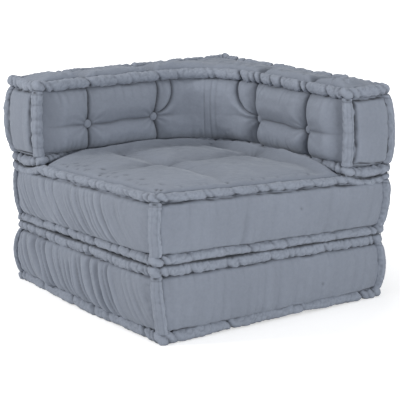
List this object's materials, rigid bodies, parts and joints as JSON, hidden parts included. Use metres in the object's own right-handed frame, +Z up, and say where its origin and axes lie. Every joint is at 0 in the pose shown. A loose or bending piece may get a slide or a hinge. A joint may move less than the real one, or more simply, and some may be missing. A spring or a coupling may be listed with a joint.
{
  "type": "modular sofa",
  "caption": "Corner module of a modular floor sofa: stuffed cotton mattresses with rolled edges, stacked under a tufted L-shaped back bolster.",
  "frame": {"origin": "on the floor under the middle of the module's bounding box", "axes": "+Z up; the bolster's corner points to +X and +Y, its rear arm lies along +Y and its side arm along +X, and the open corner of the seat points to -X and -Y"},
  "size_m": [0.7221, 0.7221, 0.5443],
  "materials": {
    "cover": "matt woven cotton, blue-grey",
    "roll": "matt woven cotton, blue-grey, rolled and hand-stitched",
    "button": "matt woven cotton, blue-grey, stretched over a button",
    "stuffing": "undyed cotton fibre",
    "twine": "matt cotton twine, grey"
  },
  "bodies": {
    "root": {"base_bottom_panel": "cover", "base_side_band": "cover", "base_top_panel": "cover", "base_filling": "stuffing", "base_bottom_roll": "roll", "base_top_roll": "roll", "base_corner_rolls": "roll", "base_ties": "twine", "seat_bottom_panel": "cover", "seat_side_band": "cover", "seat_top_panel": "cover", "seat_filling": "stuffing", "seat_bottom_roll": "roll", "seat_top_roll": "roll", "seat_corner_rolls": "roll", "seat_ties": "twine", "back_bottom_panel": "cover", "back_outer_panel": "cover", "back_inner_panel": "cover", "back_end_panels": "cover", "back_top_panel": "cover", "back_filling": "stuffing", "back_bottom_roll": "roll", "back_top_roll": "roll", "back_corner_rolls": "roll", "face_buttons": "button", "rear_buttons": "button", "button_ties": "twine", "seat_tacks": "twine", "back_tacks": "twine"}
  },
  "joints": []
}
